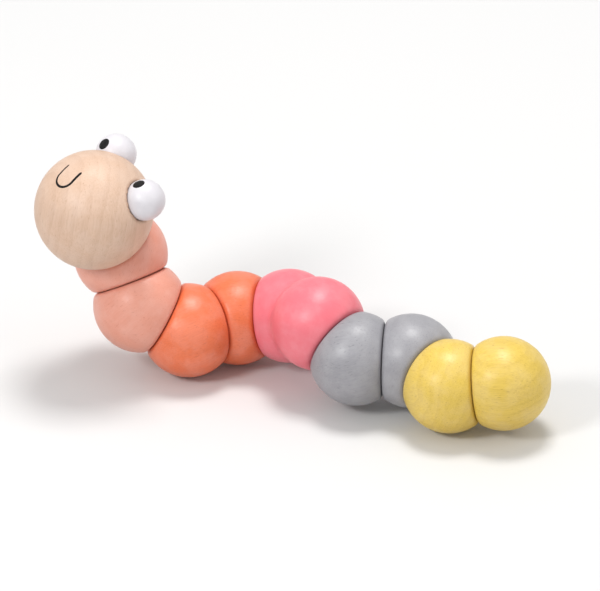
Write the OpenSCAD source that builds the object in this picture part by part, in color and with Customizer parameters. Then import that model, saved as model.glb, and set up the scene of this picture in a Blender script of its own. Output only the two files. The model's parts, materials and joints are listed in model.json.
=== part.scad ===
// Twisting worm: a head and ten wooden balls, cut flat where they meet and
// held together by an elastic cord. Every ball is an elbow: its two flats are tilted
// to each other, so turning one joint swings the rest of the body.
// The two middle balls are one solid piece. Millimetres, +Z up, +X along the body
// from head to tail, origin under the middle of the posed toy, on the table.

/* [Balls] */
// Diameter of a body ball
ball_d = 32; // [26:0.5:44]
// Distance between the centres of two neighbouring balls
ball_pitch = 18.6; // [16:0.1:24]
// Bend of each ball, between the axes of its two joints
elbow = 42; // [30:1:45]
// Diameter of the head ball
head_d = 40.6; // [34:0.2:56]
// Width of the bevel round each flat
rim_w = 0.7; // [0.3:0.1:1.5]
// Radius of the hollow between the two balls of the middle piece
waist_r = 2; // [1:0.5:8]

/* [Joints] */
// Gap between two flats
joint_gap = 0.2; // [0.1:0.05:0.5]
// Outer diameter of the hollow dowel that a joint turns on
sleeve_d = 8; // [6:0.5:12]
// Length of a hollow dowel
sleeve_l = 9; // [6:0.5:11]
// Radial clearance between a hollow dowel and the ball that turns on it
running_clearance = 0.08; // [0.03:0.01:0.1]
// End clearance of a hollow dowel in the ball that turns on it
end_clearance = 0.5; // [0.2:0.1:1]

/* [Cord] */
// Diameter of the elastic cord
cord_d = 3; // [2:0.1:4]
// Radial clearance of the cord in a hollow dowel
cord_clearance = 0.5; // [0.3:0.1:1]
// Distance from the middle of the head to the blind end of its bore
head_bore_end = 3; // [0:0.5:10]
// Diameter of the plug over the knot in the tail ball
plug_d = 7; // [5:0.5:9]
// Length of the plug, from the ball's surface
plug_l = 4; // [3:0.5:6]
// Diameter of the knot under the plug
knot_d = 6.4; // [4:0.2:8]

/* [Face] */
// Diameter of an eye ball
eye_d = 14; // [10:0.5:18]
// Height of an eye's middle over the head's surface
eye_rise = 0.95; // [0.5:0.05:3]
// Angle of an eye from the nose, measured at the middle of the head
eye_polar = 78.3; // [60:0.5:90]
// Angle of an eye to each side of the face's mid-plane
eye_side = 38.6; // [30:0.5:50]
// Clearance between the rim of an eye's pocket and the eye
eye_clearance = 0.07; // [0.03:0.01:0.15]
// Diameter of the dowel under an eye
eye_dowel_d = 4; // [3:0.5:5]
// Length of the dowel under an eye, half in the eye and half in the head
eye_dowel_l = 12; // [8:0.5:13]
// Diameter of a pupil
pupil_d = 4.3; // [3:0.1:6]
// Angle of the left eye's look away from straight ahead
left_look = 15.7; // [0:0.1:30]
// Which way the left eye looks, from the face's up towards the right eye
left_look_to = 56.8; // [-180:0.1:180]
// Angle of the right eye's look away from straight ahead
right_look = 15.5; // [0:0.1:30]
// Which way the right eye looks, from the face's up towards the right eye
right_look_to = 159.1; // [-180:0.1:180]
// Depth of the black inlays
inlay_depth = 0.4; // [0.3:0.05:0.8]
// Outer width of the smile
smile_w = 7.8; // [4:0.1:10]
// Height of the smile
smile_h = 8.7; // [5:0.1:12]
// Width of the smile's line
smile_line = 0.7; // [0.4:0.05:1.2]
// Sideways place of the smile's middle, from the face's mid-plane
smile_side = 0.2; // [-3:0.1:3]
// Height of the smile's middle over the nose
smile_up = -2.2; // [-4:0.1:4]
// Lean of the smile
smile_lean = -18; // [-30:1:30]

/* [Pose] */
// Twist of the first ball under the head
twist_neck = -74; // [-180:1:180]
// Twist between the two salmon balls
twist_salmon = -108; // [-180:1:180]
// Twist from the second salmon ball to the first coral ball
twist_salmon_coral = -22; // [-180:1:180]
// Twist between the two coral balls
twist_coral = 120; // [-180:1:180]
// Twist from the second coral ball to the pink piece
twist_coral_pink = -2; // [-180:1:180]
// Twist between the two bends of the pink piece, which is part of its shape
twist_pink = 115; // [-180:1:180]
// Twist from the pink piece to the first grey ball
twist_pink_grey = 94; // [-180:1:180]
// Twist between the two grey balls
twist_grey = 156; // [-180:1:180]
// Twist from the second grey ball to the first yellow ball
twist_grey_yellow = -169; // [-180:1:180]
// Twist between the two yellow balls
twist_yellow = -30; // [-180:1:180]
// Heading of the line through the two outer balls that stand on the table
heading = -22.8; // [-60:0.1:60]

// Which node to build

/* [Hidden] */

NATURAL = [0.86, 0.73, 0.58];
SALMON = [0.93, 0.65, 0.56];
CORAL = [0.94, 0.48, 0.34];
PINK = [0.95, 0.47, 0.53];
GREY = [0.64, 0.64, 0.66];
YELLOW = [0.92, 0.79, 0.38];
WHITE = [0.93, 0.92, 0.94];
BLACK = [0.06, 0.06, 0.06];
DOWEL = [0.80, 0.66, 0.48];
ELASTIC = [0.92, 0.90, 0.86];

ball_r = ball_d / 2;
head_r = head_d / 2;
// middle of a ball to its joint plane, and radius of the circle where two balls meet
half_pitch = ball_pitch / 2;
seam_r = sqrt(ball_r * ball_r - half_pitch * half_pitch);
// middle of the head to its joint plane
head_face = sqrt(head_r * head_r - seam_r * seam_r);
head_pitch = head_face + half_pitch;
// a bevel halfway between a flat and the ball's surface where they meet
bevel_lean = tan(90 - acos(half_pitch / ball_r) / 2);
head_bevel_lean = tan(90 - acos(head_face / head_r) / 2);
sleeve_bore_d = cord_d + 2 * cord_clearance;
eye_r = eye_d / 2;
eye_out = head_r + eye_rise;
// the circle where an eye meets the head, and the floor of the pocket it is glued in
eye_seam_out = (eye_out * eye_out + head_r * head_r - eye_r * eye_r) / (2 * eye_out);
eye_seam_r = sqrt(head_r * head_r - eye_seam_out * eye_seam_out);
eye_floor = eye_out - eye_r - 0.05;

BALL_FN = 40;
HEAD_FN = 56;
SMALL_FN = 28;
CORD_FN = 20;

// ---- where everything is -------------------------------------------------------
// A place is [turn matrix, position]. Ball k's own Z axis points at ball k + 1.
twists = [twist_neck, twist_salmon, twist_salmon_coral, twist_coral, twist_coral_pink,
          twist_pink, twist_pink_grey, twist_grey, twist_grey_yellow, twist_yellow];
HEAD = 0;
LAST = 10;
PINK_FRONT = 5;
PINK_REAR = 6;
STANDS = [3, 4, 9];   // the three balls that touch the table

function turn_x(a) = [[1, 0, 0], [0, cos(a), -sin(a)], [0, sin(a), cos(a)]];
function turn_z(a) = [[cos(a), -sin(a), 0], [sin(a), cos(a), 0], [0, 0, 1]];
function unit(v) = v / norm(v);
function next_place(p, twist, pitch) =
    let (turned = p[0] * turn_z(twist))
    [turned * turn_x(elbow), p[1] + turned * [0, 0, pitch]];
function chain_place(k) = k == HEAD
    ? [turn_z(0), [0, 0, 0]]
    : next_place(chain_place(k - 1), twists[k - 1], k == 1 ? head_pitch : ball_pitch);

chain = [for (k = [HEAD : LAST]) chain_place(k)];
// the chain stands level on its three resting balls, head up
along = unit(chain[STANDS[2]][1] - chain[STANDS[0]][1]);
level = unit(cross(along, chain[STANDS[1]][1] - chain[STANDS[0]][1]));
above = level * (chain[HEAD][1] - chain[STANDS[0]][1]) > 0 ? level : -level;
upright = turn_z(heading) * [along, cross(above, along), above];

function eye_dir(side) = [side * sin(eye_polar) * sin(eye_side),
                          sin(eye_polar) * cos(eye_side), -cos(eye_polar)];
stood = [for (p = chain) [upright * p[0], upright * p[1]]];
rounds = concat(
    [for (k = [HEAD : LAST]) [stood[k][1], k == HEAD ? head_r : ball_r]],
    [for (side = [-1, 1]) [stood[HEAD][1] + stood[HEAD][0] * eye_dir(side) * eye_out,
                           eye_r]]);
lows = [for (i = [0 : 2]) min([for (s = rounds) s[0][i] - s[1]])];
highs = [for (i = [0 : 2]) max([for (s = rounds) s[0][i] + s[1]])];
origin = [(lows[0] + highs[0]) / 2, (lows[1] + highs[1]) / 2, lows[2]];

module at(k) {
    m = stood[k][0];
    p = stood[k][1] - origin;
    multmatrix([[m[0][0], m[0][1], m[0][2], p[0]],
                [m[1][0], m[1][1], m[1][2], p[1]],
                [m[2][0], m[2][1], m[2][2], p[2]],
                [0, 0, 0, 1]])
        children();
}

// From a ball's middle, +Z out through the joint to the ball before it.
module towards_front() rotate([180 - elbow, 0, 0]) children();
// From the front ball of the pink piece to its rear ball.
module to_pink_rear()
    rotate([0, 0, twist_pink]) translate([0, 0, ball_pitch]) rotate([elbow, 0, 0])
        children();
// From the middle of the head, +Z out through the middle of an eye.
module towards_eye(side) {
    azimuth = side * eye_side;
    rotate([0, 0, -azimuth]) rotate([-(180 - eye_polar), 0, 0]) children();
}

// ---- shapes that repeat ----------------------------------------------------------
// What a flat with a bevelled rim leaves of a ball: a wide cone under a plane.
module below_flat(face, lean) {
    top = face - joint_gap / 2;
    deep = 2 * head_d;
    r = seam_r - rim_w;
    translate([0, 0, top - deep]) cylinder(h = deep, r1 = r + deep / lean, r2 = r);
}

// The hole for half of a hollow dowel: fixed at the ball that holds it, and a little
// wider and deeper at the ball that turns on it.
module sleeve_socket(face, turns) {
    depth = sleeve_l / 2 + (turns ? end_clearance : 0);
    d = sleeve_d + (turns ? 2 * running_clearance : 0);
    translate([0, 0, face - depth]) cylinder(h = depth + ball_r, d = d, $fn = SMALL_FN);
}

module cord_bore(face) cylinder(h = face, d = cord_d, $fn = CORD_FN);

// The round over the bend, a little wider than the run so that the two cross cleanly.
module cord_bend() sphere(d = cord_d + 0.4, $fn = CORD_FN);

// A single ball with two joints. front_turns and rear_turns say which of its two
// sockets runs on the dowel.
module joint_ball(front_turns, rear_turns) {
    difference() {
        intersection() {
            sphere(r = ball_r, $fn = BALL_FN);
            below_flat(half_pitch, bevel_lean, $fn = BALL_FN);
            towards_front() below_flat(half_pitch, bevel_lean, $fn = BALL_FN);
        }
        sleeve_socket(half_pitch, rear_turns);
        towards_front() sleeve_socket(half_pitch, front_turns);
        cord_bore(half_pitch);
        towards_front() cord_bore(half_pitch);
        cord_bend();
    }
}

module hollow_dowel(face) {
    translate([0, 0, face - sleeve_l / 2])
        difference() {
            cylinder(h = sleeve_l, d = sleeve_d, $fn = SMALL_FN);
            translate([0, 0, -1])
                cylinder(h = sleeve_l + 2, d = sleeve_bore_d, $fn = CORD_FN);
        }
}

// The cord inside one ball: in from the front joint, round the bend, out to the rear.
module cord_run(front, rear) {
    cord_bend();
    cylinder(h = rear - joint_gap / 2, d = cord_d, $fn = CORD_FN);
    towards_front() cylinder(h = front - joint_gap / 2, d = cord_d, $fn = CORD_FN);
}

// ---- head ------------------------------------------------------------------------
// A column with the outline of the smile: half a ring that opens upwards, and two legs
// a little narrower than the ring's line.
module smile_column() {
    r = smile_w / 2;
    leg = smile_line - 0.1;
    deep = 2 * head_r;
    translate([smile_side, smile_up, -deep]) rotate(smile_lean)
        translate([0, r - smile_h / 2, 0]) {
            difference() {
                cylinder(h = deep, r = r, $fn = SMALL_FN);
                translate([0, 0, -1])
                    cylinder(h = deep + 2, r = r - smile_line, $fn = SMALL_FN);
                translate([-smile_w, 0, -1]) cube([2 * smile_w, smile_w, deep + 2]);
            }
            for (side = [-1, 1])
                translate([side * (r - smile_line / 2) - leg / 2, -0.1, 0])
                    cube([leg, smile_h - r + 0.1, deep]);
        }
}

module eye_dowel_rod() translate([0, 0, eye_floor - eye_dowel_l / 2])
    cylinder(h = eye_dowel_l, d = eye_dowel_d, $fn = SMALL_FN);

module head() {
    color(NATURAL) at(HEAD) difference() {
        intersection() {
            sphere(r = head_r, $fn = HEAD_FN);
            below_flat(head_face, head_bevel_lean, $fn = HEAD_FN);
        }
        sleeve_socket(head_face, false);
        translate([0, 0, head_bore_end]) cord_bore(head_face - head_bore_end);
        for (side = [-1, 1]) towards_eye(side) {
            translate([0, 0, eye_floor])
                cylinder(h = head_r, r = eye_seam_r + eye_clearance, $fn = BALL_FN);
            eye_dowel_rod();
        }
        difference() {
            smile_column();
            sphere(r = head_r - inlay_depth, $fn = HEAD_FN);
        }
    }
}

module smile() {
    color(BLACK) at(HEAD) intersection() {
        smile_column();
        difference() {
            sphere(r = head_r, $fn = HEAD_FN);
            sphere(r = head_r - inlay_depth, $fn = HEAD_FN);
        }
    }
}

// Straight ahead is the head's own -Z. Each eye is turned a little its own way.
module pupil_column(side) {
    look = side < 0 ? left_look : right_look;
    to = side < 0 ? left_look_to : right_look_to;
    rotate([0, 0, -to]) rotate([-(180 - look), 0, 0])
        cylinder(h = eye_d, d = pupil_d, $fn = SMALL_FN);
}

module eye_middle(side) translate(eye_dir(side) * eye_out) children();

module eye(side) {
    color(WHITE) at(HEAD) difference() {
        eye_middle(side) difference() {
            sphere(r = eye_r, $fn = BALL_FN);
            difference() {
                pupil_column(side);
                sphere(r = eye_r - inlay_depth, $fn = BALL_FN);
            }
        }
        towards_eye(side) eye_dowel_rod();
    }
}

module pupil(side) {
    color(BLACK) at(HEAD) eye_middle(side) intersection() {
        pupil_column(side);
        difference() {
            sphere(r = eye_r, $fn = BALL_FN);
            sphere(r = eye_r - inlay_depth, $fn = BALL_FN);
        }
    }
}

module eye_dowel(side) {
    color(DOWEL) at(HEAD) towards_eye(side) eye_dowel_rod();
}

module eye_left() eye(-1);
module eye_right() eye(1);
module eye_dowel_left() eye_dowel(-1);
module eye_dowel_right() eye_dowel(1);
module pupil_left() pupil(-1);
module pupil_right() pupil(1);

// ---- body ------------------------------------------------------------------------
// Each hollow dowel is glued in the ball nearer the head and the next one turns on it.
module ball_salmon_1() color(SALMON) at(1) joint_ball(true, false);
module ball_salmon_2() color(SALMON) at(2) joint_ball(true, false);
module ball_coral_1() color(CORAL) at(3) joint_ball(true, false);
module ball_coral_2() color(CORAL) at(4) joint_ball(true, false);
module ball_grey_1() color(GREY) at(7) joint_ball(true, false);
module ball_grey_2() color(GREY) at(8) joint_ball(true, false);
module ball_yellow_1() color(YELLOW) at(9) joint_ball(true, false);

// The hollow between the two middle balls. It ends inside them, just below the skin.
module waist() {
    r = ball_r + waist_r;
    out = sqrt(r * r - half_pitch * half_pitch) - 0.02;
    reach = half_pitch * waist_r / r;
    rotate_extrude($fn = BALL_FN) difference() {
        translate([0, -reach]) square([out, 2 * reach]);
        translate([out, 0]) circle(r = waist_r, $fn = SMALL_FN);
    }
}

// Its poles lie to the sides, clear of the joints and the hollow.
module side_sphere() rotate([0, 90, 0]) sphere(r = ball_r, $fn = BALL_FN);

module piece_pink() {
    color(PINK) at(PINK_FRONT) difference() {
        union() {
            intersection() {
                side_sphere();
                towards_front() below_flat(half_pitch, bevel_lean, $fn = BALL_FN);
            }
            rotate([0, 0, twist_pink]) translate([0, 0, half_pitch]) waist();
            to_pink_rear() intersection() {
                side_sphere();
                below_flat(half_pitch, bevel_lean, $fn = BALL_FN);
            }
        }
        towards_front() sleeve_socket(half_pitch, true);
        towards_front() cord_bore(half_pitch);
        cord_bend();
        cord_bore(ball_pitch);
        to_pink_rear() {
            cord_bend();
            cord_bore(half_pitch);
            sleeve_socket(half_pitch, false);
        }
    }
}

// The tail ball: its second bore is short and opens to the outside, where the cord is
// knotted and covered by a plug.
module plug_hole() translate([0, 0, ball_r - plug_l - knot_d])
    cylinder(h = plug_l + knot_d + 1, d = plug_d, $fn = SMALL_FN);

// Its poles lie to the sides, clear of the plug.
module tail_sphere() rotate([90, 0, 40]) sphere(r = ball_r, $fn = BALL_FN);

module ball_yellow_2() {
    color(YELLOW) at(LAST) difference() {
        intersection() {
            tail_sphere();
            towards_front() below_flat(half_pitch, bevel_lean, $fn = BALL_FN);
        }
        towards_front() sleeve_socket(half_pitch, true);
        towards_front() cord_bore(half_pitch);
        cord_bend();
        cord_bore(half_pitch);
        plug_hole();
    }
}

module plug_tail() {
    color(YELLOW) at(LAST) intersection() {
        tail_sphere();
        translate([0, 0, ball_r - plug_l]) cylinder(h = plug_l + 1, d = plug_d, $fn = SMALL_FN);
    }
}

module knot_tail()
    color(ELASTIC) at(LAST) translate([0, 0, ball_r - plug_l - knot_d / 2])
        sphere(d = knot_d, $fn = SMALL_FN);

// ---- hollow dowels ---------------------------------------------------------------
module sleeve_head() color(DOWEL) at(HEAD) hollow_dowel(head_face);
module sleeve_salmon() color(DOWEL) at(1) hollow_dowel(half_pitch);
module sleeve_salmon_coral() color(DOWEL) at(2) hollow_dowel(half_pitch);
module sleeve_coral() color(DOWEL) at(3) hollow_dowel(half_pitch);
module sleeve_coral_pink() color(DOWEL) at(4) hollow_dowel(half_pitch);
module sleeve_pink_grey() color(DOWEL) at(PINK_REAR) hollow_dowel(half_pitch);
module sleeve_grey() color(DOWEL) at(7) hollow_dowel(half_pitch);
module sleeve_grey_yellow() color(DOWEL) at(8) hollow_dowel(half_pitch);
module sleeve_yellow() color(DOWEL) at(9) hollow_dowel(half_pitch);

// ---- elastic cord, in the lengths that each body carries ---------------------------
module cord_head() {
    color(ELASTIC) at(HEAD) translate([0, 0, head_bore_end])
        cylinder(h = head_face - joint_gap / 2 - head_bore_end, d = cord_d, $fn = CORD_FN);
}
module cord_salmon_1() color(ELASTIC) at(1) cord_run(half_pitch, half_pitch);
module cord_salmon_2() color(ELASTIC) at(2) cord_run(half_pitch, half_pitch);
module cord_coral_1() color(ELASTIC) at(3) cord_run(half_pitch, half_pitch);
module cord_coral_2() color(ELASTIC) at(4) cord_run(half_pitch, half_pitch);
module cord_grey_1() color(ELASTIC) at(7) cord_run(half_pitch, half_pitch);
module cord_grey_2() color(ELASTIC) at(8) cord_run(half_pitch, half_pitch);
module cord_yellow_1() color(ELASTIC) at(9) cord_run(half_pitch, half_pitch);

module cord_pink() {
    color(ELASTIC) at(PINK_FRONT) {
        cord_run(half_pitch, ball_pitch + joint_gap / 2);
        to_pink_rear() {
            cord_bend();
            cylinder(h = half_pitch - joint_gap / 2, d = cord_d, $fn = CORD_FN);
        }
    }
}

module cord_yellow_2()
    color(ELASTIC) at(LAST) cord_run(half_pitch, ball_r - plug_l - knot_d + joint_gap / 2);

head();
eye_left();
eye_right();
eye_dowel_left();
eye_dowel_right();
pupil_left();
pupil_right();
smile();
ball_salmon_1();
ball_salmon_2();
ball_coral_1();
ball_coral_2();
piece_pink();
ball_grey_1();
ball_grey_2();
ball_yellow_1();
ball_yellow_2();
sleeve_head();
sleeve_salmon();
sleeve_salmon_coral();
sleeve_coral();
sleeve_coral_pink();
sleeve_pink_grey();
sleeve_grey();
sleeve_grey_yellow();
sleeve_yellow();
cord_head();
cord_salmon_1();
cord_salmon_2();
cord_coral_1();
cord_coral_2();
cord_pink();
cord_grey_1();
cord_grey_2();
cord_yellow_1();
cord_yellow_2();
knot_tail();
plug_tail();
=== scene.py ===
"""Looks of the twisting wooden worm: turned wooden balls with satin stain, on the CAD frame.

Metres, same frame as the CAD. Every visible wooden piece is a fine mesh with rounded rims,
worked out from the joints and boxes of the frame, and has its own block of wood with its own
grain direction.
"""

import json
import math

import bmesh
import bpy
import numpy as np
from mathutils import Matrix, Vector


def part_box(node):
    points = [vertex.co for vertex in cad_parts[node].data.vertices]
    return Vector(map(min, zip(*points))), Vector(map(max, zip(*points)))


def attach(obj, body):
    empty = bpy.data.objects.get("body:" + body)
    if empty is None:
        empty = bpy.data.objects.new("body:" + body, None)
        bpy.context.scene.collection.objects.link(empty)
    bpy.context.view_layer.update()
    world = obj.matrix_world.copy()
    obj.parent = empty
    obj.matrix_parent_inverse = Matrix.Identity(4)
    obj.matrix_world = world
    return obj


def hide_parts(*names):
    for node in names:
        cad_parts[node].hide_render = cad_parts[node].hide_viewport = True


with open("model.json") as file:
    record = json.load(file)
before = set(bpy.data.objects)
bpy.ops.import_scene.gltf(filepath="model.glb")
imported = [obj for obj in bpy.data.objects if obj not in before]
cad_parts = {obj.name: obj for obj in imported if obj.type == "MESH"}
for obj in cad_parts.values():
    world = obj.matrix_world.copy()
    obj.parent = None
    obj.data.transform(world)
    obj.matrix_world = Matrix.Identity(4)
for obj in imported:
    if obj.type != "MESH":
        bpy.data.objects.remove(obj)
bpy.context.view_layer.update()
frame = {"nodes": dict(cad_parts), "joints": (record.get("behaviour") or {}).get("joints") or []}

MM = 0.001

# ---- sizes that the frame doesn't give ---------------------------------------------------
RIM_ROUND = 1.1 * MM  # rounding where a ball's skin turns into a joint flat
JOINT_GAP = 0.2 * MM  # between two flats, as in the CAD
WAIST_ROUND = 2.0 * MM  # hollow between the two balls of the pink piece
EYE_GAP = 0.06 * MM  # crease between an eye and the head
EYE_SEAT_ROUND = 0.3 * MM
PUPIL_R = 2.15 * MM
PLUG_R = 3.5 * MM
PAINT_RISE = 0.035 * MM  # how far a painted dot or line stands off the wood
SMILE_LINE = 0.85 * MM
SMILE_WIDTH, SMILE_HEIGHT = 7.8 * MM, 8.7 * MM
SMILE_LEAN = math.radians(-18)
SMILE_ASIDE, SMILE_ABOVE = 0.2 * MM, -2.2 * MM  # its middle, from the face's middle
LEG_POINTS, BEND_POINTS = 14, 41  # along each leg of the smile, and round its bend
FINE, MEDIUM = 6, 5  # subdivisions of a ball's grid
BISECTIONS = 34  # steps that find the skin along a ray
PAST_SKIN = 1.05  # how far a ray goes, in radii of its ball
PAST_PINK = 2.2  # the same from between the two pink balls


# ---- places from the frame ---------------------------------------------------------------
joints = {j["name"]: j for j in frame["joints"]}


def joint_line(name):
    j = joints[name]
    return np.array(j["pos_m"], float), np.array(j["axis"], float)


def meeting_point(a, b):
    """The point where the axes of two joints cross: the middle of the ball between them."""
    (p, u), (q, v) = joint_line(a), joint_line(b)
    w = p - q
    uv = u @ v
    t = (uv * (v @ w) - u @ w) / (1 - uv * uv)
    return p + t * u


def unit(v):
    v = np.array(v, float)
    return v / np.linalg.norm(v)


BALLS = {  # node: (body, joint in front, joint behind)
    "ball_salmon_1": ("salmon_1", "turn_head", "turn_salmon"),
    "ball_salmon_2": ("salmon_2", "turn_salmon", "turn_salmon_coral"),
    "ball_coral_1": ("coral_1", "turn_salmon_coral", "turn_coral"),
    "ball_coral_2": ("coral_2", "turn_coral", "turn_coral_pink"),
    "ball_grey_1": ("grey_1", "turn_pink_grey", "turn_grey"),
    "ball_grey_2": ("grey_2", "turn_grey", "turn_grey_yellow"),
    "ball_yellow_1": ("yellow_1", "turn_grey_yellow", "turn_yellow"),
}
centre = {node: meeting_point(front, rear) for node, (_, front, rear) in BALLS.items()}
half_pitch = np.linalg.norm(centre["ball_coral_2"] - joint_line("turn_coral")[0])


def beyond(joint, start):
    """The middle of the ball on the far side of a joint from the ball at start."""
    p, _ = joint_line(joint)
    return start + 2 * (p - start)


centre["pink_front"] = beyond("turn_coral_pink", centre["ball_coral_2"])
centre["pink_rear"] = beyond("turn_pink_grey", centre["ball_grey_1"])
centre["ball_yellow_2"] = beyond("turn_yellow", centre["ball_yellow_1"])
low, high = (np.array(v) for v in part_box("ball_yellow_2"))
ball_r = (high[2] - low[2]) / 2

# The head's middle lies on the neck joint's axis. Its left and top sides are uncut.
low, high = (np.array(v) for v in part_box("head"))
neck, ahead = joint_line("turn_head")
ahead = ahead if ahead[2] > 0 else -ahead
reach = (low[0] + high[2] - neck[0] - neck[2]) / (ahead[0] + ahead[2])
centre["head"] = neck + ahead * reach
head_r = high[2] - centre["head"][2]


def box_middle(node):
    low, high = (np.array(v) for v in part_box(node))
    return (low + high) / 2


# An eye's middle lies on the axis of its dowel, and the eye's top is uncut.
def eye_ball(side):
    along = unit(box_middle("eye_dowel_" + side) - centre["head"])
    low, high = (np.array(v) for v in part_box("eye_" + side))
    r = (high - low).max() / 2
    out = (high[2] - r - centre["head"][2]) / along[2]
    return centre["head"] + along * out, r, along


# ---- meshes ------------------------------------------------------------------------------
def grid_of_directions(subdivisions):
    bm = bmesh.new()
    bmesh.ops.create_icosphere(bm, subdivisions=subdivisions, radius=1)
    bm.verts.ensure_lookup_table()
    points = np.array([v.co for v in bm.verts])
    faces = [[v.index for v in f.verts] for f in bm.faces]
    bm.free()
    return points / np.linalg.norm(points, axis=1)[:, None], faces


GRIDS = {n: grid_of_directions(n) for n in (FINE, MEDIUM)}


def rounded_both(a, b, r):
    """Depth inside both of two shapes, with their edge rounded."""
    edge = np.hypot(np.maximum(a + r, 0), np.maximum(b + r, 0)) - r
    return np.where((a > -r) & (b > -r), edge, np.maximum(a, b))


def rounded_either(a, b, r):
    """Depth inside either of two shapes, with the hollow between them rounded."""
    hollow = r - np.hypot(np.maximum(r - a, 0), np.maximum(r - b, 0))
    return np.where((a < r) & (b < r), hollow, np.minimum(a, b))


def sphere(p, middle, r):
    return np.linalg.norm(p - middle, axis=1) - r


def flat(p, point, out):
    return (p - point) @ out


def skin(start, depth, longest, subdivisions):
    """The surface of a shape that start can see all of: where depth() is zero along each ray."""
    rays, faces = GRIDS[subdivisions]
    near, far = np.zeros(len(rays)), np.full(len(rays), longest)
    for _ in range(BISECTIONS):
        mid = (near + far) / 2
        inside = depth(start + rays * mid[:, None]) < 0
        near, far = np.where(inside, mid, near), np.where(inside, far, mid)
    return start + rays * near[:, None], faces


def grain_axes(grain, face):
    """A block's own axes: Z along the grain, X towards where the log's heart was."""
    z = unit(grain)
    x = unit(np.array(face) - (np.array(face) @ z) * z)
    return x, np.cross(z, x), z


def wooden_piece(name, body, points, faces, middle, material, slot, *nodes):
    mesh = bpy.data.meshes.new(name)
    mesh.from_pydata((points - middle).tolist(), [], faces)
    mesh.polygons.foreach_set("use_smooth", [True] * len(mesh.polygons))
    mesh.materials.append(material)
    piece = bpy.data.objects.new(name, mesh)
    bpy.context.collection.objects.link(piece)
    piece.location = Vector(middle)
    bpy.context.view_layer.update()
    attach(piece, body)
    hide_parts(*nodes)


# ---- materials ---------------------------------------------------------------------------
SEED_SHIFT = (7.13, -3.71, 11.9)  # how far apart two seeds' blocks are cut from the log, mm
PORE_DEPTH, SURFACE_WAVE = 0.022 * MM, 0.11 * MM
BRUSH_DEPTH, RIB_DEPTH = 0.012 * MM, 0.12 * MM


class Nodes:
    """A short way to write node trees."""

    def __init__(self, name):
        self.material = bpy.data.materials.new(name)
        self.material.use_nodes = True
        self.tree = self.material.node_tree
        self.tree.nodes.clear()
        self.out = self.add("ShaderNodeOutputMaterial")
        self.shader = self.add("ShaderNodeBsdfPrincipled")
        self.link(self.shader.outputs["BSDF"], self.out.inputs["Surface"])

    def add(self, kind, **settings):
        node = self.tree.nodes.new(kind)
        for key, value in settings.items():
            setattr(node, key, value)
        return node

    def link(self, a, b):
        self.tree.links.new(a, b)

    def feed(self, socket, value):
        if isinstance(value, bpy.types.NodeSocket):
            self.link(value, socket)
        else:
            socket.default_value = value

    def millimetres(self):
        """A point's place on its object, in millimetres."""
        place = self.vector("SCALE", self.add("ShaderNodeTexCoord").outputs["Object"])
        place.node.inputs["Scale"].default_value = 1 / MM
        return place

    def math(self, operation, a, b=None, c=None, clamp=False):
        node = self.add("ShaderNodeMath", operation=operation, use_clamp=clamp)
        for socket, value in zip(node.inputs, (a, b, c)):
            if value is not None:
                self.feed(socket, value)
        return node.outputs[0]

    def vector(self, operation, a, b=None):
        node = self.add("ShaderNodeVectorMath", operation=operation)
        self.feed(node.inputs[0], a)
        if b is not None:
            self.feed(node.inputs[1], b)
        return node.outputs["Value" if operation in ("LENGTH", "DOT_PRODUCT") else "Vector"]

    def noise(self, place, scale, detail=2.0, roughness=0.5):
        node = self.add("ShaderNodeTexNoise")
        self.feed(node.inputs["Vector"], place)
        node.inputs["Scale"].default_value = scale
        node.inputs["Detail"].default_value = detail
        node.inputs["Roughness"].default_value = roughness
        return node.outputs["Fac"]

    def band(self, value, low, high, to_low=0.0, to_high=1.0):
        node = self.add("ShaderNodeMapRange", interpolation_type="SMOOTHSTEP")
        for socket, v in zip(node.inputs, (value, low, high, to_low, to_high)):
            self.feed(socket, v)
        return node.outputs[0]

    def mix(self, amount, a, b, blend="MIX"):
        node = self.add("ShaderNodeMix", data_type="RGBA", blend_type=blend)
        self.feed(node.inputs["Factor"], amount)
        for socket, value in zip((node.inputs[6], node.inputs[7]), (a, b)):
            self.feed(socket, value if isinstance(value, bpy.types.NodeSocket) else (*value, 1.0))
        return node.outputs[2]

    def set(self, **values):
        for key, value in values.items():
            self.feed(self.shader.inputs[key.replace("_", " ")], value)

    def bump(self, height, distance, strength=1.0, under=None):
        node = self.add("ShaderNodeBump")
        node.inputs["Strength"].default_value = strength
        node.inputs["Distance"].default_value = distance
        self.feed(node.inputs["Height"], height)
        if under is not None:
            self.link(under, node.inputs["Normal"])
        return node.outputs["Normal"]


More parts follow.
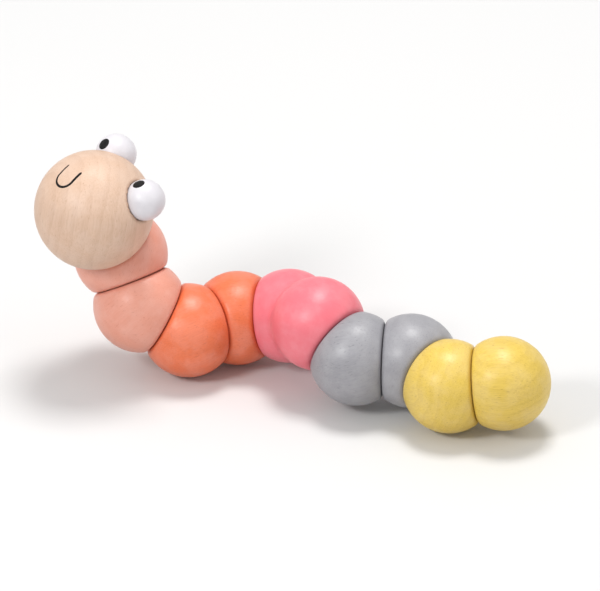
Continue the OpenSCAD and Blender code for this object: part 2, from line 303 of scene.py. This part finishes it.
def wood(name, colour, grain_colour, seed, rings=0.5, fibres=0.5, flecks=0.5, cover=0.0,
         roughness=0.38, coat=0.16, heart=(34.0, 9.0), ring_width=3.1,
         grain=(0.0, 0.0, 1.0), face=(1.0, 0.0, 0.0)):
    """Turned beech in a block's own axes, millimetres, Z along the grain.

    rings, fibres and flecks say how strongly each shows in the colour, and cover how opaque the
    paint over them is. heart is where the log's middle was, so it sets how curved the rings are.
    """
    n = Nodes(name)
    place = n.millimetres()
    block = n.add("ShaderNodeCombineXYZ")
    for socket, axis in zip(block.inputs, grain_axes(grain, face)):
        n.link(n.vector("DOT_PRODUCT", place, axis.tolist()), socket)
    place = n.vector("ADD", block.outputs[0], [seed * s for s in SEED_SHIFT])
    # growth rings: distance from the heart, a little wavy along the log
    drift = n.vector("MULTIPLY", place, (0.055, 0.055, 0.018))
    wave = n.math("MULTIPLY", n.math("SUBTRACT", n.noise(drift, 1.0, 2.5), 0.5), 9.0)
    offset = (heart[0] + seed * SEED_SHIFT[0], heart[1] + seed * SEED_SHIFT[1], 0.0)
    from_heart = n.vector("LENGTH", n.vector("MULTIPLY", n.vector("SUBTRACT", place, offset),
                                             (1.0, 1.0, 0.0)))
    years = n.math("DIVIDE", n.math("ADD", from_heart, wave), ring_width)
    year = n.math("FRACT", years)
    late = n.math("MULTIPLY", n.band(year, 0.35, 0.93), n.band(year, 1.0, 0.95))
    year_tone = n.add("ShaderNodeTexWhiteNoise", noise_dimensions="1D")
    n.feed(year_tone.inputs["W"], n.math("FLOOR", years))
    late = n.math("MULTIPLY", late, n.band(year_tone.outputs["Value"], 0.0, 1.0, 0.45, 1.0))
    # fibres: long thin streaks, and the short dark flecks of beech
    streak = n.noise(n.vector("MULTIPLY", place, (2.3, 2.3, 0.075)), 1.0, 4.0, 0.62)
    fine = n.noise(n.vector("MULTIPLY", place, (7.5, 7.5, 0.42)), 1.0, 2.0, 0.5)
    fleck_field = n.noise(n.vector("MULTIPLY", place, (3.4, 1.9, 0.52)), 1.0, 1.0, 0.4)
    fleck = n.band(fleck_field, 0.665, 0.735)
    cloud = n.noise(place, 0.045, 2.0)
    # how dark the wood is, 0 to 1
    dark = n.math("MULTIPLY", late, rings * 0.55)
    dark = n.math("MULTIPLY_ADD", n.band(streak, 0.36, 0.74), fibres * 0.42, dark)
    dark = n.math("MULTIPLY_ADD", n.band(fine, 0.42, 0.8), fibres * 0.25, dark)
    dark = n.math("MULTIPLY_ADD", fleck, flecks * 0.75, dark)
    dark = n.math("MULTIPLY_ADD", n.band(cloud, 0.3, 0.7), 0.10, dark)
    shown = n.math("MULTIPLY", dark, 1.0 - cover, clamp=True)
    tint = n.mix(shown, colour, grain_colour)
    # stain is never quite even, and gathers on the rims
    uneven = n.noise(place, 0.16, 3.0, 0.55)
    tint = n.mix(n.band(uneven, 0.35, 0.7, 0.0, 0.055), tint, (1.0, 1.0, 1.0))
    rub = n.add("ShaderNodeNewGeometry").outputs["Pointiness"]
    worn = n.math("MULTIPLY", n.band(rub, 0.515, 0.56), n.band(uneven, 0.3, 0.65, 0.15, 0.45))
    tint = n.mix(worn, tint, grain_colour)
    rough = n.math("MULTIPLY_ADD", streak, 0.10, roughness - 0.05)
    rough = n.math("MULTIPLY_ADD", n.noise(place, 0.35, 3.0), 0.09, rough)
    pores = n.math("MULTIPLY_ADD", fleck, -0.8, n.math("MULTIPLY", streak, 0.5))
    pores = n.math("MULTIPLY_ADD", fine, 0.25, pores)
    relief = n.bump(pores, PORE_DEPTH * (1.0 - 0.55 * cover), 0.8)
    relief = n.bump(n.noise(place, 0.85, 4.0, 0.6), SURFACE_WAVE, 0.8, relief)
    n.set(Base_Color=tint, Roughness=rough, Normal=relief, Coat_Weight=coat, Coat_Roughness=0.3,
          IOR=1.46)
    return n.material


def paint(name, colour, roughness, seed, coat=0.2):
    """A small painted mark: thick paint with a brushed surface and a slightly uneven tone."""
    n = Nodes(name)
    place = n.millimetres()
    place = n.vector("ADD", place, (seed, seed * 2.0, seed * 3.0))
    cloud = n.noise(place, 0.9, 3.0, 0.6)
    tint = n.mix(n.band(cloud, 0.3, 0.75), colour, [min(1.0, c * 1.25 + 0.01) for c in colour])
    rough = n.math("MULTIPLY_ADD", cloud, 0.16, roughness - 0.08)
    relief = n.bump(n.noise(place, 2.6, 3.0, 0.6), BRUSH_DEPTH, 0.7)
    n.set(Base_Color=tint, Roughness=rough, Normal=relief, Coat_Weight=coat, Coat_Roughness=0.25,
          Specular_IOR_Level=0.2)
    return n.material


def braid(name, colour):
    """Braided elastic: two sets of crossing ribs and a soft fuzz."""
    n = Nodes(name)
    place = n.millimetres()
    split = n.add("ShaderNodeSeparateXYZ")
    n.feed(split.inputs[0], place)
    x, y, z = split.outputs
    ribs = [n.math("SINE", n.math("MULTIPLY", n.math("ADD", z, n.math(op, x, y)), 5.2))
            for op in ("ADD", "SUBTRACT")]
    weave = n.math("MAXIMUM", *ribs)
    fuzz = n.noise(place, 3.5, 4.0, 0.7)
    # painted shade: the colour goes darker in the hollows between the ribs, where the relief is
    # low
    tint = n.mix(n.band(weave, -0.4, 0.9), [c * 0.72 for c in colour], colour)
    tint = n.mix(n.math("MULTIPLY", fuzz, 0.3), tint, [c * 0.85 for c in colour])
    relief = n.bump(n.math("MULTIPLY_ADD", fuzz, 0.3, weave), RIB_DEPTH, 0.8)
    n.set(Base_Color=tint, Roughness=0.85, Normal=relief)
    return n.material


def srgb(r, g, b):
    """A colour given as the eye sees it, 0 to 255, as the renderer wants it."""
    def linear(c):
        c /= 255.0
        return c / 12.92 if c <= 0.04045 else ((c + 0.055) / 1.055) ** 2.4
    return (linear(r), linear(g), linear(b))


# ---- the balls ---------------------------------------------------------------------------
# colour, colour of the grain under the stain, how much of the wood shows, and the finish
STAIN = {
    "natural": dict(colour=srgb(212, 181, 158), grain_colour=srgb(162, 120, 90),
                    rings=0.22, fibres=0.42, flecks=0.38, roughness=0.44, coat=0.05),
    "salmon": dict(colour=srgb(223, 153, 132), grain_colour=srgb(184, 103, 81),
                   rings=0.08, fibres=0.3, flecks=0.45, cover=0.2),
    "coral": dict(colour=srgb(228, 115, 71), grain_colour=srgb(178, 68, 36),
                  rings=0.08, fibres=0.5, flecks=0.5, cover=0.15),
    "pink": dict(colour=srgb(230, 113, 125), grain_colour=srgb(201, 75, 90),
                 rings=0.05, fibres=0.25, flecks=0.3, cover=0.5),
    "grey": dict(colour=srgb(152, 151, 156), grain_colour=srgb(98, 97, 101),
                 rings=0.08, fibres=0.45, flecks=0.6, cover=0.2),
    "yellow": dict(colour=srgb(223, 192, 86), grain_colour=srgb(167, 126, 32),
                   rings=0.2, fibres=0.5, flecks=0.6, cover=0.05),
}
# node: stain, seed, direction of the grain, side where the log's heart was
BLOCKS = {
    "ball_salmon_1": ("salmon", 1, (0.3, 0.5, 0.8), (1.0, -0.2, 0.0)),
    "ball_salmon_2": ("salmon", 2, (0.7, -0.1, 0.7), (0.2, -1.0, 0.3)),
    "ball_coral_1": ("coral", 3, (0.9, 0.3, 0.3), (0.0, -0.6, 1.0)),
    "ball_coral_2": ("coral", 4, (0.9, -0.2, 0.25), (0.0, 1.0, 0.2)),
    "ball_grey_1": ("grey", 7, (0.95, -0.1, 0.3), (0.0, -0.5, 1.0)),
    "ball_grey_2": ("grey", 8, (0.3, -0.3, 0.9), (1.0, -0.6, 0.0)),
    "ball_yellow_1": ("yellow", 9, (0.35, -0.8, 0.45), (0.8, 0.3, -0.9)),
    "ball_yellow_2": ("yellow", 10, (1.0, -0.1, 0.06), (0.0, -0.4, -1.0)),
}


def ball_depth(middle, flats):
    def depth(p):
        d = sphere(p, middle, ball_r)
        for point, out in flats:
            d = rounded_both(d, flat(p, point, out), RIM_ROUND)
        return d
    return depth


def joint_flat(joint, middle, inset=JOINT_GAP / 2):
    p, _ = joint_line(joint)
    out = unit(p - middle)
    return p - out * inset, out


def make_ball(node, body, joint_names):
    stain, seed, grain, face = BLOCKS[node]
    middle = centre[node]
    flats = [joint_flat(j, middle) for j in joint_names]
    points, faces = skin(middle, ball_depth(middle, flats), PAST_SKIN * ball_r, FINE)
    material = wood("stained_" + node, seed=seed, grain=grain, face=face, **STAIN[stain])
    wooden_piece("look_" + node, body, points, faces, middle, material, "paint_" + stain, node)


for node, (body, front, rear) in BALLS.items():
    make_ball(node, body, (front, rear))
make_ball("ball_yellow_2", "yellow_2", ("turn_yellow",))


def make_pink():
    a, b = centre["pink_front"], centre["pink_rear"]
    middle = (a + b) / 2
    flats = [joint_flat("turn_coral_pink", a), joint_flat("turn_pink_grey", b)]

    def depth(p):
        d = rounded_either(sphere(p, a, ball_r), sphere(p, b, ball_r), WAIST_ROUND)
        for point, out in flats:
            d = rounded_both(d, flat(p, point, out), RIM_ROUND)
        return d

    points, faces = skin(middle, depth, PAST_PINK * ball_r, FINE)
    material = wood("stained_piece_pink", seed=5, grain=b - a, face=(0.0, 0.3, 1.0),
                    **STAIN["pink"])
    wooden_piece("look_piece_pink", "pink", points, faces, middle, material, "paint_pink",
                 "piece_pink")


make_pink()


# ---- head --------------------------------------------------------------------------------
eyes = {side: eye_ball(side) for side in ("left", "right")}


def make_head():
    middle = centre["head"]
    flats = [joint_flat("turn_head", middle)]

    def depth(p):
        d = sphere(p, middle, head_r)
        for point, facing in flats:
            d = rounded_both(d, flat(p, point, facing), RIM_ROUND)
        for eye, r, _ in eyes.values():
            d = rounded_both(d, -sphere(p, eye, r + EYE_GAP), EYE_SEAT_ROUND)
        return d

    points, faces = skin(middle, depth, PAST_SKIN * head_r, FINE)
    material = wood("bare_head", seed=11, heart=(46.0, 4.0), ring_width=4.2,
                    grain=(0.12, 0.25, 0.95), face=(-1.0, -0.25, 0.1), **STAIN["natural"])
    wooden_piece("look_head", "head", points, faces, middle, material, "wood_natural", "head")


make_head()

WHITE = wood("painted_eye", srgb(211, 208, 213), srgb(186, 182, 186), seed=21, rings=0.05,
             fibres=0.25, flecks=0.15, cover=0.6, roughness=0.38, coat=0.25)
BLACK = paint("painted_black", srgb(12, 9, 9), 0.55, 3.0, coat=0.0)


def cap(middle, facing, ball, r, rise, rings=18, around=96):
    """A round painted dot that follows a ball's skin: thick in the middle, thin at its edge."""
    facing = unit(facing)
    side = unit(np.cross(facing, (0.3, 1.0, 0.2)))
    up = np.cross(facing, side)
    points, faces = [middle + facing * (ball + rise)], []
    for i in range(1, rings + 1):
        share = math.sin(i / rings * math.pi / 2)
        tilt = math.asin(min(0.999, r / ball)) * share
        edge = max(0.0, (share - 0.9) / 0.1)
        height = ball + rise * (1 - edge ** 2) - 0.6 * rise * edge ** 2
        for k in range(around):
            turn = 2 * math.pi * k / around
            flatwise = side * math.cos(turn) + up * math.sin(turn)
            points.append(middle + (facing * math.cos(tilt) + flatwise * math.sin(tilt)) * height)

    def ring(i, k):
        return 1 + (i - 1) * around + k % around

    faces += [[0, ring(1, k), ring(1, k + 1)] for k in range(around)]
    for i in range(1, rings):
        faces += [[ring(i, k), ring(i + 1, k), ring(i + 1, k + 1), ring(i, k + 1)]
                  for k in range(around)]
    return np.array(points), faces


for side, (eye, r, _) in eyes.items():
    points, faces = skin(eye, lambda p: sphere(p, eye, r), PAST_SKIN * r, MEDIUM)
    wooden_piece("look_eye_" + side, "head", points, faces, eye, WHITE, "paint_white",
                 "eye_" + side)
    looks = box_middle("pupil_" + side) - eye
    points, faces = cap(eye, looks, r, PUPIL_R, PAINT_RISE)
    wooden_piece("look_pupil_" + side, "head", points, faces, eye, BLACK, "paint_black",
                 "pupil_" + side)


def make_smile():
    """A drawn line: half a ring that opens towards the eyes, and two legs, on the head's skin."""
    middle = centre["head"]
    between = unit(eyes["left"][2] + eyes["right"][2])
    up = unit(between - (between @ ahead) * ahead)
    right = np.cross(up, -ahead)
    r = SMILE_WIDTH / 2 - SMILE_LINE / 2
    leg = SMILE_HEIGHT - SMILE_WIDTH / 2
    path = [(-r, leg * (1 - i / LEG_POINTS)) for i in range(LEG_POINTS)]
    path += [(-r * math.cos(t), -r * math.sin(t)) for t in np.linspace(0, math.pi, BEND_POINTS)]
    path += [(r, leg * (i + 1) / LEG_POINTS) for i in range(LEG_POINTS)]
    path = np.array(path) + (0, SMILE_WIDTH / 2 - SMILE_HEIGHT / 2)
    cos, sin = math.cos(SMILE_LEAN), math.sin(SMILE_LEAN)
    path = path @ np.array([[cos, -sin], [sin, cos]]).T + (SMILE_ASIDE, SMILE_ABOVE)
    run = np.gradient(path, axis=0)
    run /= np.linalg.norm(run, axis=1)[:, None]
    across = np.column_stack([-run[:, 1], run[:, 0]])
    far = len(path) - 1
    profile = [(-0.5, -0.9), (-0.46, 0.35), (-0.3, 0.85), (0.0, 1.0), (0.3, 0.85), (0.46, 0.35),
               (0.5, -0.9)]
    points, faces = [], []
    for i, (spot, aside_dir) in enumerate(zip(path, across)):
        end = min(1.0, math.sqrt(max(0.0, min(i, far - i) / 2.2)) + 0.05)
        line = SMILE_LINE * end * (1.2 - 0.4 * i / far)
        for u, v in profile:
            a, b = spot + aside_dir * u * line
            on_ball = right * a + up * b
            depth = math.sqrt(head_r ** 2 - on_ball @ on_ball)
            points.append(middle + (on_ball + ahead * depth) * (1 + v * PAINT_RISE / head_r))
    many = len(profile)
    for i in range(far):
        faces += [[i * many + k, i * many + k + 1, (i + 1) * many + k + 1, (i + 1) * many + k]
                  for k in range(many - 1)]
    wooden_piece("look_smile", "head", np.array(points), faces, middle, BLACK, "paint_black",
                 "smile")


make_smile()


def make_plug():
    """The plug over the knot: its domed end follows the tail ball's skin."""
    middle = centre["ball_yellow_2"]
    facing = unit(box_middle("plug_tail") - middle)
    points, faces = cap(middle, facing, ball_r, PLUG_R, PAINT_RISE)
    end_grain = {**STAIN["yellow"], "colour": srgb(208, 176, 74)}
    material = wood("stained_plug", seed=12, grain=facing, face=(0, 0, 1), **end_grain)
    wooden_piece("look_plug_tail", "yellow_2", points, faces, middle, material, "paint_yellow",
                 "plug_tail")


make_plug()

# ---- pieces inside, kept as the CAD made them --------------------------------------------
DOWEL = wood("bare_dowel", srgb(214, 184, 142), srgb(170, 128, 84), seed=31, rings=0.4,
             flecks=0.8)
ELASTIC = braid("braided_elastic", srgb(226, 222, 212))
INSIDE = {"sleeve": DOWEL, "eye_dowel": DOWEL, "cord": ELASTIC, "knot": ELASTIC}
for name, node in frame["nodes"].items():
    for start, material in INSIDE.items():
        if name.startswith(start):
            node.data.materials.clear()
            node.data.materials.append(material)


# ---- stage -------------------------------------------------------------------------------
def make_floor():
    bpy.ops.mesh.primitive_plane_add(size=6.0, location=(0, 0, 0))
    floor = bpy.context.object
    floor.name = "floor"
    n = Nodes("pale_floor")
    place = n.add("ShaderNodeTexCoord").outputs["Object"]
    tone = n.noise(place, 3.0, 2.0)
    n.set(Base_Color=n.mix(tone, (0.67, 0.67, 0.67), (0.69, 0.69, 0.69)), Roughness=0.8)
    floor.data.materials.append(n.material)


def area_light(name, place, aim, size, power, colour=(1, 1, 1)):
    data = bpy.data.lights.new(name, "AREA")
    data.shape = "RECTANGLE"
    data.size, data.size_y = size
    data.energy = power
    data.color = colour
    lamp = bpy.data.objects.new(name, data)
    bpy.context.collection.objects.link(lamp)
    lamp.location = place
    lamp.rotation_euler = (Vector(aim) - Vector(place)).to_track_quat("-Z", "Y").to_euler()


make_floor()
MIDDLE = (0, 0, 0.035)
area_light("overhead_softbox", (0.07, 0.27, 1.3), MIDDLE, (0.38, 0.38), 10.7, (1.0, 0.99, 0.975))
area_light("left_softbox", (-0.74, -0.7, 0.86), MIDDLE, (0.28, 0.28), 6.8)
area_light("right_fill", (1.15, -0.4, 0.7), MIDDLE, (0.9, 0.9), 2.6)

world = bpy.data.worlds.new("studio")
world.use_nodes = True
background = world.node_tree.nodes["Background"].inputs
background["Color"].default_value = (1, 1, 1, 1)
background["Strength"].default_value = 0.62
bpy.context.scene.world = world

# A long lens from far off: the balls near and far look the same size.
CAMERA_DISTANCE = 5.15
CAMERA_ELEVATION = math.radians(30.1)
CAMERA_AZIMUTH = math.radians(0.2)
VIEW_WIDTH = 203.5 * MM  # what the picture's width covers at the aim point
AIM_ASIDE, AIM_UP = 2.6 * MM, 33.2 * MM

towards = Vector((math.sin(CAMERA_AZIMUTH) * math.cos(CAMERA_ELEVATION),
                  -math.cos(CAMERA_AZIMUTH) * math.cos(CAMERA_ELEVATION),
                  math.sin(CAMERA_ELEVATION)))
camera_right = Vector((0, 0, 1)).cross(towards).normalized()
camera_up = towards.cross(camera_right)
aim = camera_right * AIM_ASIDE + camera_up * AIM_UP
camera_data = bpy.data.cameras.new("camera")
camera_data.sensor_fit = "HORIZONTAL"
camera_data.lens = camera_data.sensor_width * CAMERA_DISTANCE / VIEW_WIDTH
camera_data.clip_end = 50
camera = bpy.data.objects.new("camera", camera_data)
bpy.context.collection.objects.link(camera)
camera.location = aim + towards * CAMERA_DISTANCE
camera.rotation_euler = (-towards).to_track_quat("-Z", "Y").to_euler()
bpy.context.scene.camera = camera
bpy.context.scene.view_settings.view_transform = "Standard"
